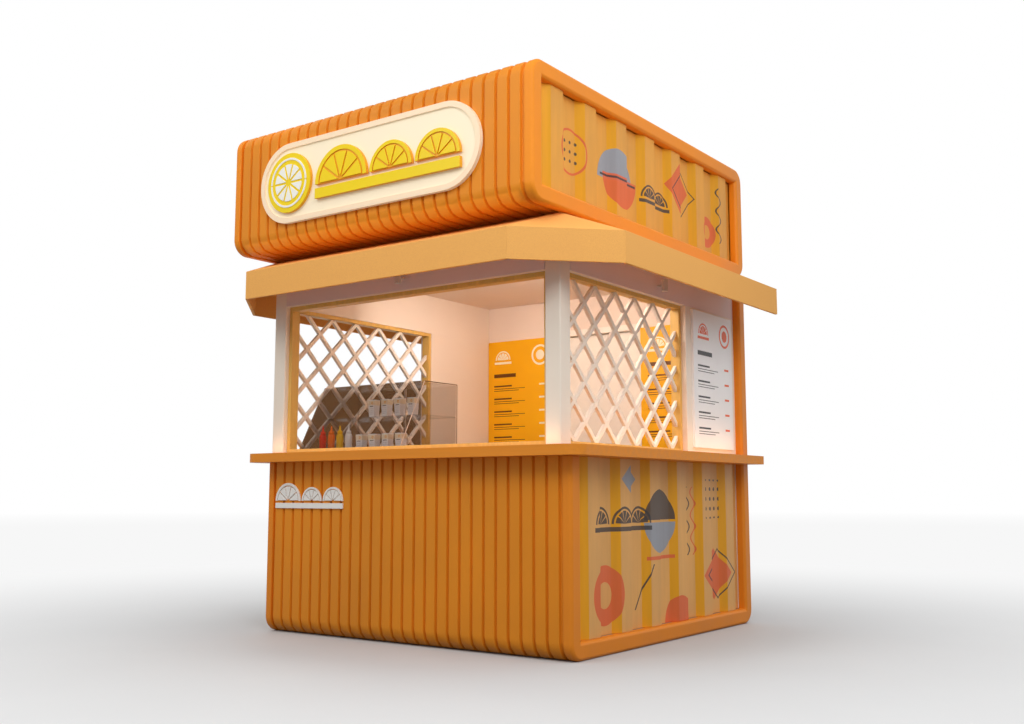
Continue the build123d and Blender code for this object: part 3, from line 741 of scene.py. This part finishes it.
# base: a small white ornament on the ribs, upper left
ORNAMENT_INSET = 0.032
ORNAMENT_HEIGHT = 0.835  # of its bar's top above the ground
ORNAMENT_SCALE = 0.54  # beside the sign's slices
skin_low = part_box("base_front_skin")[0]
raised(
    "base_ornament",
    slices_over_bar(skin_low.x + ORNAMENT_INSET, ORNAMENT_HEIGHT, ORNAMENT_SCALE),
    skin_low.y,
    0.010,
    ornament_white,
    ornament_white,
    0.0015,
)


# ---------------------------------------- display case: the edges of its right end, and its sliding panes
CASE_TOP_DEPTH = 0.34
CASE_EDGE = 0.006
case_low, case_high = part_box("display_case")
case_foot = (case_low.y + CASE_EDGE / 2, case_low.z + CASE_EDGE / 2)
case_brow = (case_high.y - CASE_TOP_DEPTH + CASE_EDGE / 2, case_high.z - CASE_EDGE / 2)
case_crown = (case_high.y - CASE_EDGE / 2, case_high.z - CASE_EDGE / 2)
case_heel = (case_high.y - CASE_EDGE / 2, case_low.z + CASE_EDGE / 2)
polished = paint("polished_edge", (228, 218, 208), 0.02, 40.0, 0.0001, (0.12, 0.2))
smoked_edge = paint("smoked_edge", (96, 66, 48), 0.03, 40.0, 0.0001, (0.12, 0.2))
for name, corners, look in (
    ("case_front_edge", (case_foot, case_brow), polished),
    ("case_rear_edges", (case_brow, case_crown, case_heel), smoked_edge),
):
    bars = [bar(start, end, CASE_EDGE) for start, end in zip(corners, corners[1:])]
    raised(name, bars, case_high.x, 0.001, look, look, 0.0004, across="y")

# two smoked panes slide past each other at the seller's side, each with a polished edge
PANE_THICKNESS = 0.005
PANE_GAP = 0.009  # at its outer end, above and below
PANE_OVERLAP = 0.012  # past the case's middle
case_middle = (case_low.x + case_high.x) / 2
panes = (  # each one's outer end, inner end and rear side
    (case_low.x + PANE_GAP, case_middle + PANE_OVERLAP, case_high.y - 0.016),
    (case_high.x - PANE_GAP, case_middle - PANE_OVERLAP, case_high.y - 0.004),
)
for number, (outer_end, inner_end, plane) in enumerate(panes):
    middle_z = (case_low.z + case_high.z) / 2
    pane_height = case_high.z - case_low.z - 2 * PANE_GAP
    pane_middle = ((outer_end + inner_end) / 2, middle_z)
    raised(
        f"case_pane_{number}",
        [rectangle(pane_middle, (abs(inner_end - outer_end), pane_height))],
        plane,
        PANE_THICKNESS,
        looks["smoked_clear"],
        looks["smoked_clear"],
        0.0008,
    )
    raised(
        f"case_pane_edge_{number}",
        [rectangle((inner_end, middle_z), (0.004, pane_height))],
        plane + 0.0003,
        PANE_THICKNESS + 0.0006,
        polished,
        polished,
        0.0006,
    )

# ---------------------------------------- gores that close the eaves' top beside each corner
FASCIA_HEIGHT = 0.18
EAVES_SHEET = 0.018
eaves_low, eaves_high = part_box("eaves_front")
sides_low, sides_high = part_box("eaves_sides")
posts_low, posts_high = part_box("front_corner_posts")
fascia_top = eaves_low.z + FASCIA_HEIGHT
eaves_top = eaves_high.z


def gore(name, corners):
    """A thin three-cornered sheet; corners are on its upper side."""
    shape = bmesh.new()
    stack(shape, [[(x, y, z - EAVES_SHEET) for x, y, z in corners], corners])
    bmesh.ops.recalc_face_normals(shape, faces=shape.faces)
    soften(from_shape(name, shape, (looks["orange_eaves"],)), 0.001)


for side, sign in (("right", 1), ("left", -1)):
    post_x, front_x, side_x = sign * posts_high.x, sign * eaves_high.x, sign * sides_high.x
    post = (post_x, posts_low.y, eaves_top)
    front_tip, front_end = (front_x, eaves_low.y, fascia_top), (front_x, posts_low.y, eaves_top)
    side_tip, side_end = (side_x, sides_low.y, fascia_top), (post_x, sides_low.y, eaves_top)
    gore(f"eaves_gore_front_{side}", [front_tip, post, front_end])
    gore(f"eaves_gore_side_{side}", [side_tip, post, side_end])

# ---------------------------------------- sauce bottles and food cartons
BOTTLE_RADIUS = 0.024
CAP_FOOT = 0.126
BOTTLE_PROFILE = [  # height and radius
    (0.0, 0.0205), (0.002, 0.0235), (0.006, BOTTLE_RADIUS), (0.05, 0.0238), (0.06, 0.0226),
    (0.07, 0.0238), (0.108, 0.0238), (0.118, 0.0215), (0.124, 0.0165), (CAP_FOOT, 0.0125),
    (0.1265, 0.0175), (0.141, 0.0172), (0.143, 0.0150), (0.146, 0.0085), (0.160, 0.0062),
    (0.176, 0.0036), (0.180, 0.0030), (0.182, 0.0018),
]
BOTTLE_COLOURS = [(222, 62, 44), (238, 120, 40), (232, 184, 30), (226, 224, 222)]


def bottle(name, middle, foot, sauce, cap, steps=32):
    """A round squeeze bottle, which shows its sauce up to the cap."""
    rings = []
    for height, radius in BOTTLE_PROFILE:
        rings.append([(x, y, foot + height) for x, y in circle(middle, radius, steps)])
    shape = bmesh.new()
    for walls, (height, _) in zip(stack(shape, rings), BOTTLE_PROFILE):
        for wall in walls:
            wall.smooth = True
            wall.material_index = int(height >= CAP_FOOT)
    piece = from_shape(name, shape, (sauce, cap))
    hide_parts("sauce_bottles")


bottle_low, bottle_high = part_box("sauce_bottles")
bottle_pitch = (bottle_high.x - bottle_low.x - 2 * BOTTLE_RADIUS) / (len(BOTTLE_COLOURS) - 1)
for number, colour in enumerate(BOTTLE_COLOURS):
    sauce = paint(f"sauce_{number}", colour, 0.02, 60.0, 0.0001, (0.28, 0.36))
    cap = paint(f"sauce_cap_{number}", shade(colour, 1.08), 0.02, roughness=(0.35, 0.45))
    middle = (bottle_low.x + BOTTLE_RADIUS + number * bottle_pitch, (bottle_low.y + bottle_high.y) / 2)
    bottle(f"sauce_bottle_{number}", middle, bottle_low.z, sauce, cap)


def carton_paper():
    """White card with a cream band, a small ring and bars, drawn on each face."""
    shader = Print("carton_paper", roughness=0.6)
    axes = shader.axes(shader.place)
    shader.sheet(axes[0], axes[2])
    fibre = shader.noise(90.0, 4.0)
    card = shader.mix(shader.ramp(fibre, *NOISE_RANGE), (238, 241, 248), (250, 252, 255))
    layout = [
        ((244, 232, 205), Print.box, (0, 0.094), (0.2, 0.03)),
        ((236, 160, 30), Print.ring, (0.008, 0.094), 0.0065, 0.004),
        ((60, 54, 52), Print.box, (0, 0.072), (0.032, 0.005)),
        ((176, 172, 172), Print.rows, -0.018, 0.018, 0.058, 0.002, 0.012, 4),
    ]
    shader.colour(shader.draw(card, layout))
    shader.relief(fibre, 0.0002)
    return shader.material


CARTONS = 4  # to a row
CARTON_HEIGHT = 0.115
CARTON_FOOT = 0.023  # half its width, and so for the mouth and the seam
CARTON_MOUTH = 0.028
CARTON_SEAM = 0.024


def carton(name, middle, foot, paper):
    """A folded food carton: flared walls, a turned lip and a tucked lid with its seam."""
    box = [  # height and half the width
        (0.0, CARTON_FOOT - 0.001), (0.001, CARTON_FOOT), (0.083, 0.0266), (0.084, 0.0273),
        (CARTON_HEIGHT - 0.001, CARTON_MOUTH), (CARTON_HEIGHT, CARTON_MOUTH - 0.001),
        (CARTON_HEIGHT - 0.001, CARTON_MOUTH - 0.003), (CARTON_HEIGHT - 0.006, CARTON_MOUTH - 0.0035),
    ]
    seam = [(CARTON_HEIGHT - 0.006, 0.0022), (CARTON_HEIGHT - 0.0075, 0.0012)]
    levels = [(height, half, half) for height, half in box]
    levels += [(height, CARTON_SEAM, half) for height, half in seam]
    rings = []
    for height, half_x, half_y in levels:
        rings.append([(x, y, height) for x, y in rectangle((0, 0), (2 * half_x, 2 * half_y))])
    shape = bmesh.new()
    stack(shape, rings)
    piece = from_shape(name, shape, (paper,), place=(*middle, foot))
    soften(piece, 0.0012, angle=50.0)
    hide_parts("food_cartons")


carton_low, carton_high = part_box("food_cartons")
paper = carton_paper()
carton_pitch = (carton_high.x - carton_low.x - 2 * CARTON_MOUTH) / (CARTONS - 1)
carton_rows = (
    (carton_low.y + CARTON_MOUTH, carton_low.z),
    (carton_high.y - CARTON_MOUTH, carton_high.z - CARTON_HEIGHT),
)
for row, (row_y, row_z) in enumerate(carton_rows):
    for number in range(CARTONS):
        row_x = carton_low.x + CARTON_MOUTH + number * carton_pitch
        carton(f"food_carton_{row}_{number}", (row_x, row_y), row_z, paper)


# ---------------------------------------- floor, backdrop and light
FLOOR_FADE = (1.8, 7.6)  # distances from the kiosk's middle between which the floor fades to near white
HORIZON_FADE = (26.0, 50.0)  # and those between which near white turns to white


def floor_material():
    """Pale floor that fades to near white round the kiosk and to white at the horizon."""
    shader = Shader("pale_floor", roughness=0.7)
    axes = shader.axes(shader.place)
    far = shader.length(axes[0], axes[1])
    near = shader.ramp(far, *FLOOR_FADE, 1.0, 0.0)
    fade = shader.calc("SUBTRACT", 1.0, shader.calc("POWER", near, 2))
    mottle = shader.noise(0.8, 3.0)
    shader.colour(shader.mix(shader.ramp(mottle, *NOISE_RANGE), (201, 204, 207), (205, 208, 211)))
    brightness = shader.ramp(far, *HORIZON_FADE, 0.93, 1.0)
    glow = shader.add("ShaderNodeEmission", {"Color": (1, 1, 1, 1), "Strength": brightness})
    # the light that the floor throws back onto the kiosk is weaker than the floor looks
    dull = shader.add("ShaderNodeBsdfDiffuse", {"Color": linear((140, 140, 140))})
    seen = shader.seen()
    lit = shader.cover(seen, dull.outputs[0], shader.surface.outputs[0])
    faded = shader.cover(shader.calc("MULTIPLY", fade, seen), lit, glow.outputs[0])
    shader.set(shader.tree.nodes["Material Output"].inputs["Surface"], faded)
    return shader.material


bpy.ops.mesh.primitive_circle_add(vertices=96, radius=90.0, fill_type="NGON")
floor = bpy.context.object
floor.name = "floor"
floor.location.z = cad_box[0].z
floor.data.materials.append(floor_material())

world = bpy.context.scene.world or bpy.data.worlds.new("World")
bpy.context.scene.world = world
world.use_nodes = True
sky = Nodes(world.node_tree)
daylight = sky.tree.nodes["Background"]
upward = sky.axes(sky.add("ShaderNodeTexCoord").outputs["Generated"])[2]
sky.set(daylight.inputs["Color"], (1.0, 0.985, 0.965, 1.0))
sky.set(daylight.inputs["Strength"], sky.ramp(upward, 0.0, 1.0, 0.26, 1.02))

# the white backdrop, which looks brown through the smoked sheets
white = sky.add("ShaderNodeBackground", {"Color": (1, 1, 1, 1), "Strength": 1.0})
smoke = sky.add("ShaderNodeBackground", {"Color": linear(SMOKE), "Strength": 1.0})
sheets_passed = sky.add("ShaderNodeLightPath").outputs["Transparent Depth"]
open_view = sky.calc("LESS_THAN", sheets_passed, 0.5)
backdrop = sky.cover(open_view, smoke.outputs[0], white.outputs[0])
surroundings = sky.cover(sky.seen(), daylight.outputs[0], backdrop)
sky.set(sky.tree.nodes["World Output"].inputs["Surface"], surroundings)


def area_lamp(name, place, target, size, power, colour=(1, 1, 1)):
    """A soft lamp that the camera doesn't see, with its size in metres and its power in watts."""
    data = bpy.data.lights.new(name, "AREA")
    data.shape = "RECTANGLE"
    data.size, data.size_y = size
    data.energy = power
    data.color = colour
    lamp = bpy.data.objects.new(name, data)
    bpy.context.scene.collection.objects.link(lamp)
    lamp.location = place
    lamp.rotation_euler = (Vector(target) - Vector(place)).to_track_quat("-Z", "Y").to_euler()
    lamp.visible_camera = False


area_lamp("overhead", (0, -1, 7.5), (0, -1, 0), (9.0, 9.0), 30)
area_lamp("key", (-0.8, -4.6, 4.8), (0, -1.5, 2.6), (2.5, 2.5), 55, (1.0, 0.98, 0.94))
area_lamp("corner", (3.4, -3.9, 4.3), (1.2, -1.3, 2.5), (1.8, 1.8), 60)
area_lamp("side", (3.9, -0.4, 3.6), (1.2, 0.0, 2.5), (2.2, 2.2), 25)
area_lamp("room", (0, 0, 2.40), (0, 0, 0), (1.5, 1.5), 4, (1.0, 0.92, 0.85))
area_lamp("rear_wall_wash", (0.2, -0.55, 2.30), (0.2, 1.1, 2.0), (1.4, 0.12), 15, (1.0, 0.93, 0.87))

# light thrown back by the counter onto the white posts behind it
WARM = (1.0, 0.62, 0.36)
counter_low, counter_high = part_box("counter_top")
glow_z = counter_high.z + 0.01
aim_z = glow_z + 0.18
area_lamp("front_glow", (0, counter_low.y + 0.02, glow_z), (0, posts_low.y, aim_z), (2.3, 0.03), 1.1, WARM)
area_lamp("side_glow", (counter_high.x - 0.02, 0, glow_z), (posts_high.x, 0, aim_z), (2.0, 0.03), 1.3, WARM)

# light thrown back by the eaves onto the top box's lower round
box_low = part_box("box_skin")[0]
round_z = eaves_top + 0.01
area_lamp(
    "eaves_glow",
    (0, eaves_low.y + 0.05, round_z),
    (0, box_low.y + 0.12, round_z + 0.05),
    (2.2, 0.10),
    0.20,
    (1.0, 0.88, 0.78),
)

# ---------------------------------------- camera
CAMERA_TILT = 6.93  # degrees up from level
CAMERA_TURN = 35.83  # degrees to the left of +Y
camera_data = bpy.data.cameras.new("camera")
camera_data.sensor_width = 36.0
camera_data.lens = 38.25
camera = bpy.data.objects.new("camera", camera_data)
bpy.context.scene.collection.objects.link(camera)
camera.location = (4.392, -6.134, 0.891)
camera.rotation_euler = (radians(90 + CAMERA_TILT), 0.0, radians(CAMERA_TURN))
bpy.context.scene.camera = camera
bpy.context.scene.view_settings.view_transform = "Standard"
